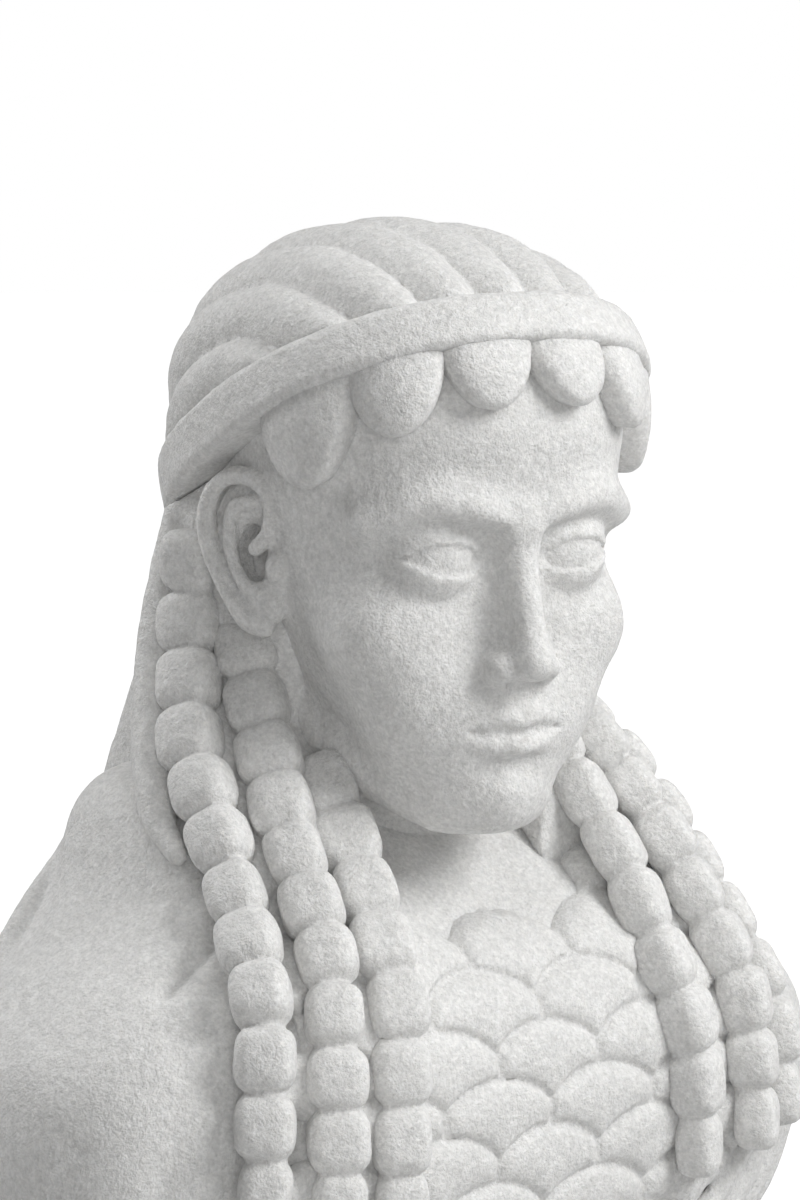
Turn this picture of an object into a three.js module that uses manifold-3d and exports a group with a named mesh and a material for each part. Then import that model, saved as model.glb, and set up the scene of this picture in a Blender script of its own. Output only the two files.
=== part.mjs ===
// A tabletop marble bust of a woman in the archaic Greek manner, on a turned socle and a square plinth.
// The marble is pieced: head and neck are one block let into the torso by a tenon, and the hair cap, the
// headband, the forehead curls, the braids, the back hair and the scale collar are separate carved pieces.
// A threaded rod holds torso, socle and plinth together, and its nut is hidden under a felt sheet.
// Millimetres, +Z up. The bust faces -Y, and its right side is -X. Origin: middle of the felt's underside.
import * as THREE from "three";
import { mergeVertices } from "three/addons/utils/BufferGeometryUtils.js";
import Module from "manifold-3d";

const wasm = await Module();
wasm.setup();

// Driving dimensions.
const GAP = 0.3; // bedding gap between two pieces
const FELT_THICK = 2;
const PLINTH_SIDE = 118;
const PLINTH_THICK = 20;
const PLINTH_CHAMFER = 2.5;
const SOCLE_TOP_Z = 84;
const ROD_RADIUS = 6;
const BORE_CLEARANCE = 0.5;
const NECK_TENON_RADIUS = 22;
const NECK_TENON_LENGTH = 30;
const HEAD_ORIGIN = new THREE.Vector3(1.5, -7, 250); // under the middle of the skull, at chin level
const HEAD_YAW = THREE.MathUtils.degToRad(-11); // turned a little to its right
const HEAD_NOD = THREE.MathUtils.degToRad(4); // and bowed a little
const CAP_THICK = 7.5;
const FLUTE_DEPTH = 2.6;
const FLUTE_PITCH = THREE.MathUtils.degToRad(11.2);
const FLUTE_AXIS_Z = 60; // the flutes fan about a line along Y at this height
const BAND_WIDTH = 14.5;
const BAND_THICK = 10; // measured from the skull, so it stands proud of the cap's lower edge
const BAND_Z = 98.8; // height of the band's middle plane over the chin, at mid-depth
const BAND_SLOPE = 0.58; // rise of the band towards the forehead
const CURL_COUNT = 6;
const CURL_PITCH = THREE.MathUtils.degToRad(24);
const CURL_WIDTH = 21.8;
const CURL_LENGTH = 17.5;
const CURL_THICK = 7.5;
const CURL_HINGE = 22; // the curls' outlines are drawn at this distance from the head's axis
const CURL_TURN = 0.92; // share of its own angle by which a curl faces sideways
const FOREHEAD_REACH = 64; // from the head's axis to the forehead under the band
const COLLAR_THICK = 3.2;
const BEAD_PITCH = 16.2;
const BEAD_HALF_WIDTH = 7.7;
const STRAND_AXIS_Y = 30; // the beads face away from an upright line at this depth
const BEAD_HALF_DEPTH = 7.2;
const BEAD_WAIST = 0.74; // radius between two beads, as a share of the bead's
const BRAID_LAYER_Z = 225; // above this height plain hair backs the braids
const BRAID_LAYER_RADIUS = 8.5;
const BRAID_PIN_RADIUS = 2;
const BRAID_PIN_LENGTH = 24;
const BRAID_PIN_Z = 186;
const DOWEL_RADIUS = 5;
const DOWEL_LENGTH = 70;
const KEY_PIN_RADIUS = 3;
const UPPER_KEY = { length: 24, y: 20 };
const LOWER_KEY = { length: 18, y: 34 };
const NUT_RECESS = { radius: 19, depth: 14 };
const WASHER_RADIUS = 15;
const WASHER_THICK = 2.5;
const NUT_ACROSS_FLATS = 19;
const NUT_THICK = 8;

const marble = new THREE.MeshStandardMaterial({ color: 0xe9e8e5, roughness: 0.62, metalness: 0 });
const baseMarble = new THREE.MeshStandardMaterial({ color: 0xe4e3e0, roughness: 0.5, metalness: 0 });
const steel = new THREE.MeshStandardMaterial({ color: 0xb4b6b8, roughness: 0.35, metalness: 1 });
const felt = new THREE.MeshStandardMaterial({ color: 0x2f3a33, roughness: 0.95, metalness: 0 });

// Horizontal sections, bottom to top: half-width, reach to the front (-Y) and reach to the back (+Y).
const HEAD_SECTIONS = [
  { z: 0, w: 12, f: 49, b: -18 },
  { z: 4, w: 21, f: 56, b: -4 },
  { z: 16, w: 31, f: 59, b: 18 },
  { z: 36, w: 40, f: 60.5, b: 38 },
  { z: 60, w: 45.5, f: 62, b: 53 },
  { z: 82, w: 49.5, f: 63, b: 60 },
  { z: 102, w: 50.5, f: 62.5, b: 61 },
  { z: 120, w: 45, f: 56, b: 54 },
  { z: 134, w: 32, f: 40, b: 38 },
  { z: 141, w: 16.7, f: 22, b: 20 },
  { z: 143, w: 3, f: 5, b: 5 },
];
const NECK_SECTIONS = [
  { z: 214, w: 32, f: 26, b: 36 },
  { z: 236, w: 31, f: 26, b: 36 },
  { z: 262, w: 30, f: 26, b: 34 },
  { z: 286, w: 30, f: 22, b: 34 },
];
const TORSO_SECTIONS = [
  { z: SOCLE_TOP_Z + GAP, w: 38, f: 35, b: 35 },
  { z: 92, w: 58, f: 42, b: 40 },
  { z: 106, w: 91, f: 53, b: 48 },
  { z: 124, w: 116, f: 61, b: 53 },
  { z: 146, w: 130, f: 65, b: 56 },
  { z: 168, w: 134, f: 67, b: 57 },
  { z: 188, w: 129.5, f: 66, b: 57 },
  { z: 204, w: 115, f: 61, b: 55 },
  { z: 218, w: 98, f: 50, b: 54 },
  { z: 230, w: 85.5, f: 37, b: 53.5 },
  { z: 240, w: 79.5, f: 25, b: 53 },
  { z: 248, w: 75, f: 15, b: 51 },
  { z: 254, w: 68, f: 8, b: 48 },
  { z: 258, w: 57, f: 4, b: 45 },
];
const BACK_HAIR_SECTIONS = [
  { z: 160, w: 26, f: 0, b: 64 },
  { z: 170, w: 34, f: 0, b: 69 },
  { z: 200, w: 45, f: 0, b: 72 },
  { z: 235, w: 55, f: 8, b: 73 },
  { z: 250, w: 55, f: 13, b: 70.5 },
  { z: 268, w: 53, f: 20, b: 65.5 },
  { z: 298, w: 49.5, f: 24, b: 55 },
  { z: 330, w: 47, f: 20, b: 48 },
];

// Centre lines of the braids, from behind the ear to the end on the chest.
const BRAID_ROUTES = {
  braid_right_outer: [
    [-49, 13, 320], [-51, 12, 297], [-61, 1, 271], [-66, -9, 259.5], [-75, -34, 232],
    [-86, -57, 209.5], [-91, -64, 186], [-93, -66, 156],
  ],
  braid_right_middle: [
    [-41, 2, 296], [-46, -8, 276], [-54, -28, 250], [-62, -49, 227.5],
    [-66, -60, 213], [-71, -68, 190], [-73, -71, 152],
  ],
  braid_right_inner: [
    [-35, -18, 261], [-38, -33, 244], [-42, -46, 231], [-46, -57, 218],
    [-49, -66, 203], [-52, -70, 182], [-53, -72, 148],
  ],
  braid_left_outer: [
    [48, 10, 312], [54, 5, 288], [64, -8, 268], [75, -26, 246],
    [80, -40, 226], [84.5, -52, 208], [89, -62, 188], [91, -66, 156],
  ],
  braid_left_middle: [
    [43, -6, 290], [54, -22, 268], [62, -37, 247], [66, -52, 226],
    [70, -62, 208], [74, -68, 190], [76, -71, 152],
  ],
  braid_left_inner: [
    [40, -23, 268], [44, -37, 247], [45, -50, 230], [45, -60, 215],
    [47, -67, 200], [51, -71, 182], [53, -72, 148],
  ],
};

// A smooth lock on each side, which falls behind the outer braid on to the shoulder.
const SIDE_LOCK = [
  [44, 25, 324], [48.3, 24, 307], [52.7, 22, 292], [58.8, 17, 277],
  [66.2, 9, 262], [72.4, 0, 249], [76, -12, 240],
];
const SIDE_LOCK_RADIUS = 5.5;

// The raised hem of the mantle, along the back of each shoulder.
const MANTLE_HEM = [
  [44, 41, 247], [59, 41.5, 241], [72, 39.5, 231], [89, 35, 218], [103, 29.5, 203], [115, 22, 186],
];
const MANTLE_HEM_RADIUS = 4;

const signedPower = (x, p) => Math.sign(x) * Math.abs(x) ** p;

function merged(geometry) {
  geometry.deleteAttribute("normal");
  geometry.deleteAttribute("uv");
  return mergeVertices(geometry, 1e-4);
}

function toSolid(geometry) {
  const closed = merged(geometry.clone());
  return new wasm.Manifold(
    new wasm.Mesh({
      numProp: 3,
      vertProperties: closed.attributes.position.array,
      triVerts: new Uint32Array(closed.index.array),
    }),
  );
}

function toGeometry(solid) {
  const mesh = solid.getMesh();
  return new THREE.BufferGeometry()
    .setAttribute("position", new THREE.BufferAttribute(mesh.vertProperties, 3))
    .setIndex(new THREE.BufferAttribute(mesh.triVerts, 1));
}

// The largest body of a solid that a cut has left in several.
function largest(solid) {
  return solid.decompose().reduce((a, b) => (a.volume() > b.volume() ? a : b));
}

// A closed surface through the sections, made from a cylinder whose points are moved on to them.
function loft(sections, { sides = 32, levels = 20, boxiness = 2.3 } = {}) {
  const values = sections.flatMap(({ z, w, f, b }) => [z, w, f, b]);
  const curve = new THREE.CubicInterpolant(sections.map((_, i) => i), values, 4);
  const geometry = new THREE.CylinderGeometry(1, 1, 1, sides, levels);
  const p = geometry.attributes.position;
  for (let i = 0; i < p.count; i++) {
    const [z, w, f, b] = curve.evaluate((p.getY(i) + 0.5) * (sections.length - 1));
    const round = 2 / boxiness;
    const x = w * signedPower(p.getX(i), round);
    const y = (b - f) / 2 + ((b + f) / 2) * signedPower(-p.getZ(i), round);
    p.setXYZ(i, x, y, z);
  }
  return merged(geometry);
}

// The same surface moved out along its normals, by a distance or by a function of the point.
function grown(geometry, by) {
  const g = geometry.clone();
  g.computeVertexNormals();
  const p = g.attributes.position;
  const n = g.attributes.normal;
  const at = new THREE.Vector3();
  const out = new THREE.Vector3();
  for (let i = 0; i < p.count; i++) {
    at.fromBufferAttribute(p, i);
    out.fromBufferAttribute(n, i);
    const distance = typeof by === "function" ? by(at) : by;
    at.addScaledVector(out, distance);
    p.setXYZ(i, at.x, at.y, at.z);
  }
  g.deleteAttribute("normal");
  return g;
}

const placed = (geometry, x, y, z) => geometry.clone().translate(x, y, z);

// A cylinder along Z from its foot.
function rod(radius, x, y, foot, length, sides = 24) {
  const g = new THREE.CylinderGeometry(radius, radius, length, sides);
  return placed(g.rotateX(Math.PI / 2), x, y, foot + length / 2);
}

// Everything that belongs to the head is modelled upright and then turned and bowed with it.
const HEAD_MATRIX = new THREE.Matrix4()
  .makeTranslation(HEAD_ORIGIN)
  .multiply(new THREE.Matrix4().makeRotationZ(HEAD_YAW))
  .multiply(new THREE.Matrix4().makeRotationX(HEAD_NOD));
const onHead = (geometry) => geometry.clone().applyMatrix4(HEAD_MATRIX);

const skull = loft(HEAD_SECTIONS, { sides: 26, levels: 14 });
const neck = loft(NECK_SECTIONS, { sides: 24, levels: 3, boxiness: 2 });

// The ear leans back a little and stands off the skull.
function ear(side, by) {
  const g = new THREE.SphereGeometry(1, 10, 7);
  g.scale(5.5 + by, 13 + by, 20.5 + by);
  g.rotateX(THREE.MathUtils.degToRad(-9));
  g.rotateZ(side * THREE.MathUtils.degToRad(-26));
  return placed(g, side * 49, -5.5, 66);
}

function nose(by) {
  const outline = new THREE.Shape();
  outline.moveTo(-50, 34 - by);
  outline.lineTo(-65 - by, 38 - by);
  outline.quadraticCurveTo(-74 - by, 40, -72 - by, 46 + by);
  outline.lineTo(-61 - by, 76 + by);
  outline.lineTo(-50, 76 + by);
  outline.closePath();
  const half = 7.5 + by;
  const g = new THREE.ExtrudeGeometry(outline, { depth: 2 * half, bevelEnabled: false, curveSegments: 5 });
  // The outline is drawn as (y, z), and its thickness lies along X.
  g.translate(0, 0, -half);
  g.applyMatrix4(new THREE.Matrix4().set(0, 0, 1, 0, 1, 0, 0, 0, 0, 1, 0, 0, 0, 0, 0, 1));
  const p = g.attributes.position;
  for (let i = 0; i < p.count; i++) {
    const rise = THREE.MathUtils.clamp((p.getZ(i) - 40) / 36, 0, 1);
    p.setX(i, p.getX(i) * (1 - 0.55 * rise));
  }
  return g;
}

// Head and neck in one block, without the tenon.
function headBlock(by) {
  let block = toSolid(onHead(grown(skull, by)));
  for (const side of [-1, 1]) block = block.add(toSolid(onHead(ear(side, by))));
  block = block.add(toSolid(onHead(nose(by))));
  return block.add(toSolid(grown(neck, by)));
}

// A slab of the head between two planes parallel to the band, given by their distances from its middle.
function bandSlab(low, high) {
  const tilt = Math.atan(BAND_SLOPE);
  const g = new THREE.BoxGeometry(300, 300, high - low);
  g.translate(0, 0, (high + low) / 2);
  g.rotateX(-tilt);
  return toSolid(onHead(placed(g, 0, 0, BAND_Z)));
}

// Rounded lobes that run from the band over the crown to the nape.
function fluteDepth(p) {
  const axisZ = FLUTE_AXIS_Z - 0.55 * Math.max(0, p.y);
  const angle = Math.atan2(p.x, p.z - axisZ);
  return FLUTE_DEPTH * Math.abs(Math.cos((Math.PI * angle) / FLUTE_PITCH));
}

function hairCap() {
  const fine = loft(HEAD_SECTIONS, { sides: 64, levels: 14 });
  const outer = grown(fine, (p) => CAP_THICK - FLUTE_DEPTH + fluteDepth(p));
  const shell = toSolid(onHead(outer)).subtract(toSolid(onHead(grown(skull, GAP))));
  return largest(shell.intersect(bandSlab(BAND_WIDTH / 2 + GAP, 200)));
}

function headband() {
  const shell = toSolid(onHead(grown(skull, BAND_THICK))).subtract(headBlock(GAP));
  return largest(shell.intersect(bandSlab(-BAND_WIDTH / 2, BAND_WIDTH / 2)));
}

// A tongue-shaped curl that hangs from the band's lower edge at this angle from the middle of the forehead.
function curl(angle) {
  const outline = new THREE.Shape();
  const half = CURL_WIDTH / 2 - GAP;
  const straight = CURL_LENGTH - half * 0.9;
  outline.moveTo(-half, 4);
  outline.lineTo(-half, -straight);
  outline.absellipse(0, -straight, half, half * 0.9, Math.PI, 2 * Math.PI, false, 0);
  outline.lineTo(half, 4);
  outline.closePath();
  const g = new THREE.ExtrudeGeometry(outline, { depth: 60, bevelEnabled: false, curveSegments: 6 });
  g.rotateX(Math.PI / 2); // the outline's Y becomes Z, and it is cut out towards -Y
  g.rotateZ(angle * CURL_TURN);
  const foot = BAND_Z + BAND_SLOPE * FOREHEAD_REACH * Math.cos(angle) - BAND_WIDTH / 2;
  const shell = toSolid(onHead(grown(skull, CURL_THICK))).subtract(headBlock(GAP));
  const hinge = placed(g, CURL_HINGE * Math.sin(angle), -CURL_HINGE * Math.cos(angle), foot);
  const cut = toSolid(onHead(hinge));
  return largest(shell.intersect(cut).intersect(bandSlab(-60, -BAND_WIDTH / 2 - GAP)));
}

const torsoSurface = loft(TORSO_SECTIONS, { sides: 32, levels: 14, boxiness: 3 });

// A round bar along a smooth curve through the points, which are Vector3.
function bar(points, radius, steps) {
  const section = new THREE.Shape().absellipse(0, 0, radius, radius, 0, 2 * Math.PI);
  const extrudePath = new THREE.CatmullRomCurve3(points);
  return new THREE.ExtrudeGeometry(section, { extrudePath, steps, curveSegments: 2, bevelEnabled: false });
}

// Points given for the left side, as vectors on either side.
const onSide = (points, side) => points.map(([x, y, z]) => new THREE.Vector3(side * x, y, z));

function torsoOuter(by) {
  let solid = toSolid(grown(torsoSurface, by));
  for (const side of [-1, 1]) {
    solid = solid.add(toSolid(bar(onSide(MANTLE_HEM, side), MANTLE_HEM_RADIUS + by, 8)));
  }
  return solid;
}

// The collar's outline seen from the front: a shield that hangs from the neck over the chest.
function collarOutline(by) {
  const outline = new THREE.Shape();
  outline.moveTo(0, 118 - by);
  outline.bezierCurveTo(52, 118 - by, 84 + by, 140 - by, 87 + by, 176);
  outline.bezierCurveTo(87 + by, 196, 78 + by, 212, 62 + by, 238);
  outline.lineTo(42, 246 + by);
  outline.bezierCurveTo(26, 213 + by, -26, 213 + by, -42, 246 + by);
  outline.lineTo(-62 - by, 238);
  outline.bezierCurveTo(-78 - by, 212, -87 - by, 196, -87 - by, 176);
  outline.bezierCurveTo(-84 - by, 140 - by, -52, 118 - by, 0, 118 - by);
  const g = new THREE.ExtrudeGeometry(outline, { depth: 90, bevelEnabled: false, curveSegments: 6 });
  return toSolid(placed(g.rotateX(Math.PI / 2), 0, -2, 0));
}

// A bead string's closed surface: a cylinder bent along the route, swelling at each bead.
function beadString(route, by) {
  const curve = new THREE.CatmullRomCurve3(route.map(([x, y, z]) => new THREE.Vector3(x, y, z)));
  const length = curve.getLength();
  const beads = Math.round(length / BEAD_PITCH);
  const rings = beads * 3;
  const g = new THREE.CylinderGeometry(1, 1, 1, 8, rings);
  const p = g.attributes.position;
  const up = new THREE.Vector3();
  const out = new THREE.Vector3();
  const across = new THREE.Vector3();
  for (let i = 0; i < p.count; i++) {
    const share = THREE.MathUtils.clamp(0.5 - p.getY(i), 0, 1);
    const centre = curve.getPointAt(share);
    curve.getTangentAt(share, up);
    out.set(centre.x, centre.y - STRAND_AXIS_Y, 0).normalize();
    out.addScaledVector(up, -out.dot(up)).normalize();
    across.crossVectors(out, up);
    const swell = BEAD_WAIST + (1 - BEAD_WAIST) * Math.abs(Math.sin(Math.PI * beads * share)) ** 0.7;
    const end = Math.min(1, 0.55 + 4 * (1 - share));
    const size = swell * end;
    const u = p.getX(i) * (BEAD_HALF_WIDTH * size + by);
    const v = p.getZ(i) * (BEAD_HALF_DEPTH * size + by);
    centre.addScaledVector(across, u).addScaledVector(out, v);
    p.setXYZ(i, centre.x, centre.y, centre.z);
  }
  return toSolid(g);
}

// A plain hair layer behind each braid, which backs the beads where they leave the neck.
function braidLayer(route, by) {
  const points = route
    .filter(([, , z]) => z > BRAID_LAYER_Z)
    .map(([x, y, z]) => {
      const inward = new THREE.Vector2(x, y - 12).setLength(BRAID_LAYER_RADIUS);
      return new THREE.Vector3(x - inward.x, y - inward.y, z);
    });
  return bar(points, BRAID_LAYER_RADIUS + by, 5);
}

function backHairOuter(by) {
  let solid = toSolid(grown(loft(BACK_HAIR_SECTIONS, { sides: 24, levels: 7, boxiness: 2.4 }), by));
  for (const route of Object.values(BRAID_ROUTES)) solid = solid.add(toSolid(braidLayer(route, by)));
  for (const side of [-1, 1]) {
    solid = solid.add(toSolid(bar(onSide(SIDE_LOCK, side), SIDE_LOCK_RADIUS + by, 10)));
  }
  return solid;
}

// Steel pins that fix a braid to the chest, each lying along Y.
function braidPin(route, by) {
  const curve = new THREE.CatmullRomCurve3(route.map(([x, y, z]) => new THREE.Vector3(x, y, z)));
  let share = 0;
  while (share < 1 && curve.getPointAt(share).z > BRAID_PIN_Z) share += 0.005;
  const at = curve.getPointAt(Math.min(1, share));
  const radius = BRAID_PIN_RADIUS + by;
  const length = BRAID_PIN_LENGTH + 2 * by;
  const g = new THREE.CylinderGeometry(radius, radius, length, 12);
  return placed(g, at.x, at.y + BRAID_PIN_LENGTH / 2, at.z);
}

const bust = new THREE.Group();

function piece(name, solid, material) {
  const mesh = new THREE.Mesh(solid.getMesh ? toGeometry(solid) : solid, material);
  mesh.name = name;
  bust.add(mesh);
}

// Base: felt, plinth and socle, bored for the rod and the nut.
const plinthFoot = FELT_THICK + GAP;
const plinthTop = plinthFoot + PLINTH_THICK;
const socleFoot = plinthTop + GAP;
const rodFoot = plinthFoot + 1;
const rodTop = SOCLE_TOP_Z + 44;
const washerFoot = plinthFoot + NUT_RECESS.depth - WASHER_THICK - GAP;
const nutFoot = washerFoot - NUT_THICK - GAP;

function chamferedPlinth() {
  const half = PLINTH_SIDE / 2 - PLINTH_CHAMFER;
  const square = new THREE.Shape([
    new THREE.Vector2(-half, -half),
    new THREE.Vector2(half, -half),
    new THREE.Vector2(half, half),
    new THREE.Vector2(-half, half),
  ]);
  const g = new THREE.ExtrudeGeometry(square, {
    depth: PLINTH_THICK - 2 * PLINTH_CHAMFER,
    bevelThickness: PLINTH_CHAMFER,
    bevelSize: PLINTH_CHAMFER,
    bevelSegments: 1,
  });
  return placed(g, 0, 0, plinthFoot + PLINTH_CHAMFER);
}

function socleBody() {
  const z = (share) => socleFoot + share * (SOCLE_TOP_Z - socleFoot);
  const profile = new THREE.Path();
  profile.moveTo(0, z(0));
  profile.lineTo(52, z(0));
  profile.absarc(52, z(0.08), z(0.08) - z(0), -Math.PI / 2, Math.PI / 2, false);
  profile.lineTo(47, z(0.16));
  profile.lineTo(47, z(0.21));
  profile.bezierCurveTo(28, z(0.3), 24, z(0.62), 35, z(0.8));
  profile.lineTo(38, z(0.8));
  profile.lineTo(38, z(0.86));
  profile.absarc(39.5, z(0.93), z(0.93) - z(0.86), -Math.PI / 2, Math.PI / 2, false);
  profile.lineTo(0, z(1));
  return new THREE.LatheGeometry(profile.getPoints(3), 32).rotateX(Math.PI / 2);
}

// A pin upright across the joint at height z, or the hole for it.
function keyPin(pin, z, by) {
  return toSolid(rod(KEY_PIN_RADIUS + by, 0, pin.y, z - pin.length / 2 - by, pin.length + 2 * by, 16));
}
const upperKey = (by) => keyPin(UPPER_KEY, SOCLE_TOP_Z, by);
const lowerKey = (by) => keyPin(LOWER_KEY, plinthTop, by);

const bore = toSolid(rod(ROD_RADIUS + BORE_CLEARANCE, 0, 0, -10, rodTop + 12));
const recess = toSolid(rod(NUT_RECESS.radius, 0, 0, plinthFoot - 1, NUT_RECESS.depth + 1, 32));
const feltSide = PLINTH_SIDE - 8;

const feltSheet = new THREE.BoxGeometry(feltSide, feltSide, FELT_THICK);
piece("felt_pad", placed(feltSheet, 0, 0, FELT_THICK / 2), felt);
const plinth = toSolid(chamferedPlinth()).subtract(recess).subtract(bore);
piece("plinth", plinth.subtract(lowerKey(GAP)), baseMarble);
const socle = toSolid(socleBody()).subtract(bore).subtract(upperKey(GAP));
piece("socle", socle.subtract(lowerKey(GAP)), baseMarble);
const washerBlank = toSolid(rod(WASHER_RADIUS, 0, 0, washerFoot, WASHER_THICK, 32));
piece("washer", washerBlank.subtract(bore), steel);
const nutBlank = toSolid(rod(NUT_ACROSS_FLATS / Math.sqrt(3), 0, 0, nutFoot, NUT_THICK, 6));
piece("hex_nut", nutBlank.subtract(toSolid(rod(ROD_RADIUS + GAP, 0, 0, nutFoot - 1, NUT_THICK + 2))), steel);
piece("threaded_rod", rod(ROD_RADIUS, 0, 0, rodFoot, rodTop - rodFoot), steel);
piece("key_pin_upper", upperKey(0), steel);
piece("key_pin_lower", lowerKey(0), steel);

// Torso, with the neck's socket and the bores for the rod, the key pin, the neck dowel and the braid pins.
const NECK_AXIS_Y = 5;
const neckFoot = NECK_SECTIONS[0].z;
const tenonFoot = neckFoot - NECK_TENON_LENGTH;
const dowelFoot = tenonFoot - 26;
const tenonLength = NECK_TENON_LENGTH + 10; // the last part is inside the neck
const tenonBlank = (by) => rod(NECK_TENON_RADIUS + by, 0, NECK_AXIS_Y, tenonFoot - by, tenonLength, 28);
const dowelBlank = (by) => rod(DOWEL_RADIUS + by, 0, NECK_AXIS_Y, dowelFoot - by, DOWEL_LENGTH + 2 * by, 16);
const tenon = (by) => toSolid(tenonBlank(by));
const dowel = (by) => toSolid(dowelBlank(by));
let torso = torsoOuter(0).subtract(bore).subtract(upperKey(GAP));
torso = torso.subtract(toSolid(grown(neck, GAP))).subtract(tenon(GAP)).subtract(dowel(GAP));
const braidPinHoles = Object.values(BRAID_ROUTES).map((route) => toSolid(braidPin(route, GAP)));
for (const hole of braidPinHoles) torso = torso.subtract(hole);
piece("torso", largest(torso), marble);
piece("head_dowel", dowel(0), steel);

// The scale collar lies on the chest.
let collar = toSolid(grown(torsoSurface, COLLAR_THICK)).subtract(torsoOuter(GAP));
collar = collar.subtract(toSolid(grown(neck, GAP))).intersect(collarOutline(0));
for (const hole of braidPinHoles) collar = collar.subtract(hole);
piece("scale_collar", largest(collar), marble);

// Head, hair cap, headband and curls.
const crownDowel = (by) => toSolid(onHead(rod(KEY_PIN_RADIUS + by, 0, 4, 131 - by, 16 + 2 * by, 16)));
piece("head_block", headBlock(0).add(tenon(0)).subtract(dowel(GAP)).subtract(crownDowel(GAP)), marble);
piece("crown_dowel", crownDowel(0), steel);
const cap = hairCap();
piece("hair_cap", cap.subtract(crownDowel(GAP)), marble);
piece("headband", headband(), marble);
for (let i = 0; i < CURL_COUNT; i++) {
  const angle = (i - (CURL_COUNT - 1) / 2) * CURL_PITCH;
  piece(`forehead_curl_${i + 1}`, curl(angle), marble);
}

// Hair behind the braids and down the back, under the band.
const underBand = bandSlab(-400, -BAND_WIDTH / 2 - GAP);
let backHair = backHairOuter(0).intersect(underBand).subtract(torsoOuter(GAP)).subtract(headBlock(GAP));
backHair = backHair.subtract(toSolid(grown(torsoSurface, COLLAR_THICK + GAP)).intersect(collarOutline(GAP)));
piece("back_hair", largest(backHair), marble);

// Braids, each cut to the surfaces that it lies on.
const braidBed = toSolid(grown(torsoSurface, COLLAR_THICK + GAP)).add(torsoOuter(GAP)).add(headBlock(GAP));
const aboveUnderside = bandSlab(-BAND_WIDTH / 2 - GAP, 200);
const bandBed = toSolid(onHead(grown(skull, BAND_THICK + GAP))).intersect(aboveUnderside);
const hairBed = backHairOuter(GAP).add(bandBed);
const taken = [];
Object.entries(BRAID_ROUTES).forEach(([name, route], i) => {
  let braid = beadString(route, 0).subtract(braidBed).subtract(hairBed).subtract(braidPinHoles[i]);
  for (const other of taken) braid = braid.subtract(other);
  piece(name, largest(braid), marble);
  taken.push(beadString(route, GAP));
  piece(name.replace("braid", "braid_pin"), braidPin(route, 0), steel);
});

export default bust;
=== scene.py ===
"""A tabletop marble bust in the archaic Greek manner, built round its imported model.

Each carved stone piece is a field of signed distances, in millimetres, and is meshed from it. The socle
and plinth are plain meshes. The steel and felt parts stay as they are in the model and get better
materials. The scene is in metres, with +Z up and the face towards -Y.
"""

import math

import bmesh
import bpy
import numpy as np
import openvdb
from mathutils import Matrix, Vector


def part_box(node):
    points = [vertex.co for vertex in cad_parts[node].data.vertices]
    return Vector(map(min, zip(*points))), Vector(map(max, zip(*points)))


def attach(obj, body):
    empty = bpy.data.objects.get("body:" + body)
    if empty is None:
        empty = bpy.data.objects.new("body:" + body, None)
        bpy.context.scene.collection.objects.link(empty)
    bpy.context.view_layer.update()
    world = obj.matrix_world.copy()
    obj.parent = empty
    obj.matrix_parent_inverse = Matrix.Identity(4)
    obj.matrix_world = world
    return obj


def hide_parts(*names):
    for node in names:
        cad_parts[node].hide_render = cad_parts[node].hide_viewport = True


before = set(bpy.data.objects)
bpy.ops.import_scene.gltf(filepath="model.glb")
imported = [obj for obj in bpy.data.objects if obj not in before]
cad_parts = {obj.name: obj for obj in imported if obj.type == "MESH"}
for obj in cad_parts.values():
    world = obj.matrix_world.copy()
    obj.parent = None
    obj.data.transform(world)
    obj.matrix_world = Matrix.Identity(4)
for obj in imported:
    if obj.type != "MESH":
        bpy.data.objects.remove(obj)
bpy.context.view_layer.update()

# Fineness of the carving, in millimetres between samples.
COARSER = 1.0
HEAD_STEP = 0.9 * COARSER
HAIR_STEP = 0.8 * COARSER
STRAND_STEP = 0.75 * COARSER
TORSO_STEP = 1.34 * COARSER
COLLAR_STEP = 0.9 * COARSER
FAR = 40.0  # distance given to samples that no shape has reached
MM = 0.001  # metres

# Dimensions shared with the model, in millimetres.
GAP = 0.3
HEAD_ORIGIN = (1.5, -7.0, 250.0)
HEAD_YAW = math.radians(-11)
HEAD_NOD = math.radians(4)
CAP_THICK = 7.5
FLUTE_PITCH = math.radians(11.2)
FLUTE_AXIS_Z = 60.0
BAND_WIDTH = 14.5
BAND_THICK = 10.0
BAND_Z = 98.8
BAND_SLOPE = 0.58
CURL_COUNT = 6
CURL_PITCH = math.radians(24)
CURL_THICK = 7.5
CURL_HINGE = 22.0  # the curls' outlines are drawn at this distance from the head's axis
CURL_TURN = 0.92  # share of its own angle by which a curl faces sideways
FOREHEAD_REACH = 64.0
COLLAR_THICK = 3.2
BEAD_PITCH = 16.2
BEAD_HALF_WIDTH = 7.7
BEAD_HALF_DEPTH = 7.2
STRAND_AXIS_Y = 30.0  # the beads face away from an upright line at this depth
BRAID_LAYER_Z = 225.0
BRAID_LAYER_RADIUS = 8.5

# Not in the model, where all curls have one size: width and length, from the figure's right to its left.
CURL_SIZES = ((30, 24), (26.5, 20.5), (26, 19), (26, 19), (26.5, 20.5), (30, 24))
# Not in the model, where the plain layer's face is level with the middle line of its strand.
BRAID_LAYER_SINK = 5.0

# Limits in the head's own coordinates.
CROWN_Z = 98.0  # the skull is widest here, and domed above
CROWN_RISE = 45.0
HEAD_FOOT_Z = -2.5
HEAD_BACK_Y = 32.0  # the head block stops here, inside the hair
NECK_REACH_Z = 34.0  # the neck goes up to here inside the head

# Limits in the world's coordinates.
NECK_FOOT_Z = 224.0
SOCLE_FOOT_Z = 22.6
SOCLE_TOP_Z = 84.0
TORSO_TOP_Z = 258.0
BACK_HAIR_FOOT_Z = 160.0

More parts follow.
